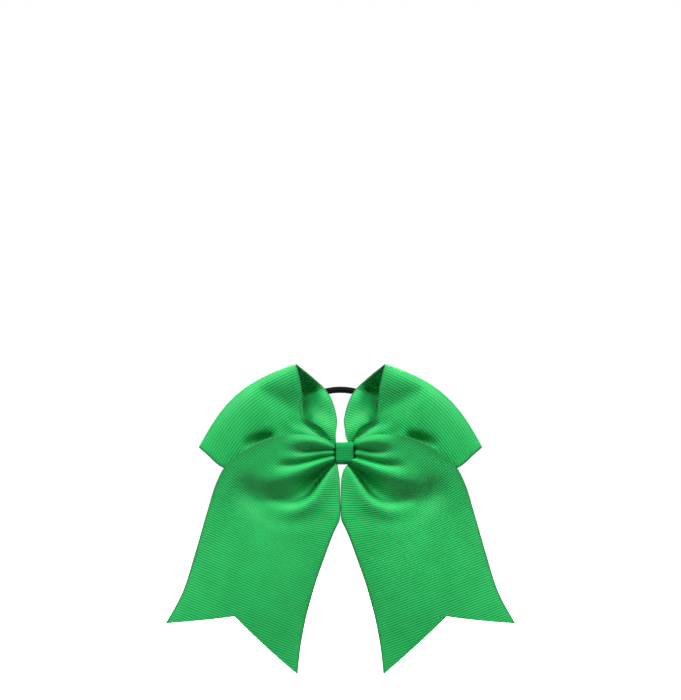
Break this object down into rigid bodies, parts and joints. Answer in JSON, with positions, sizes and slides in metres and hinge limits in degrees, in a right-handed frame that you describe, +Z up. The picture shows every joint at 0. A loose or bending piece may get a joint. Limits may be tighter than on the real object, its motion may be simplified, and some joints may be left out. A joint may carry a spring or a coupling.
{
  "type": "cheer hair bow",
  "caption": "Cheer hair bow of wide grosgrain ribbon with gathered loops, long notched tails, a narrow ribbon knot and an elastic hair tie",
  "frame": {"origin": "middle of the knot's flat back, on the bow's middle plane", "axes": "+Z up, from the tails to the loops; the bow's front faces -Y and the wearer's head is on the +Y side; +X to the right as seen from the front"},
  "size_m": [0.192, 0.0431, 0.1707],
  "materials": {
    "ribbon": "ribbed grosgrain weave with a slight sheen",
    "knot_ribbon": "narrow ribbed grosgrain with a slight sheen",
    "thread": "twisted polyester thread",
    "glue": "cloudy hot-melt glue",
    "elastic_cover": "matte black braid",
    "elastic_core": "matte",
    "ferrule": "crimped, satin"
  },
  "bodies": {
    "knot": {"knot_wrap": "knot_ribbon", "glue_beads": "glue", "gather_thread": "thread", "tail_gathers": "ribbon", "loop_gathers": "ribbon", "left_shoulder": "ribbon", "right_shoulder": "ribbon", "left_tail_bend": "ribbon", "right_tail_bend": "ribbon"},
    "left_tail": {"left_tail": "ribbon"},
    "right_tail": {"right_tail": "ribbon"},
    "left_loop": {"left_loop": "ribbon"},
    "right_loop": {"right_loop": "ribbon"},
    "hair_tie": {"elastic_cover_held": "elastic_cover", "elastic_core_held": "elastic_core", "elastic_cover_sides": "elastic_cover", "elastic_core_sides": "elastic_core", "elastic_ferrule": "ferrule"},
    "hair_tie_end": {"elastic_cover_far": "elastic_cover", "elastic_core_far": "elastic_core"}
  },
  "joints": [
    {"name": "left_tail_swing", "type": "hinge", "parent": "knot", "child": "left_tail", "pos_m": [-0.035, -0.018, -0.016], "axis": [-1, 0, 0], "range_deg": [-20, 45], "stiffness_Nm_per_rad": 0.004, "deforming": ["left_tail_bend"]},
    {"name": "right_tail_swing", "type": "hinge", "parent": "knot", "child": "right_tail", "pos_m": [0.035, -0.018, -0.016], "axis": [-1, 0, 0], "range_deg": [-20, 45], "stiffness_Nm_per_rad": 0.004, "deforming": ["right_tail_bend"]},
    {"name": "left_loop_flex", "type": "hinge", "parent": "knot", "child": "left_loop", "pos_m": [-0.0029, -0.0089, 0], "axis": [0, 0, -1], "range_deg": [0, 6], "stiffness_Nm_per_rad": 0.02},
    {"name": "right_loop_flex", "type": "hinge", "parent": "knot", "child": "right_loop", "pos_m": [0.0077, -0.0089, 0], "axis": [0, 0, 1], "range_deg": [0, 6], "stiffness_Nm_per_rad": 0.02},
    {"name": "hair_tie_swing", "type": "hinge", "parent": "knot", "child": "hair_tie", "pos_m": [0, -0.0028, 0], "axis": [-1, 0, 0], "range_deg": [0, 130], "stiffness_Nm_per_rad": 0.003},
    {"name": "hair_tie_stretch", "type": "slide", "parent": "hair_tie", "child": "hair_tie_end", "axis": [0, 0.4384, 0.8988], "range_m": [0, 0.06], "stiffness_N_per_m": 80, "deforming": ["elastic_cover_sides", "elastic_core_sides"]}
  ]
}
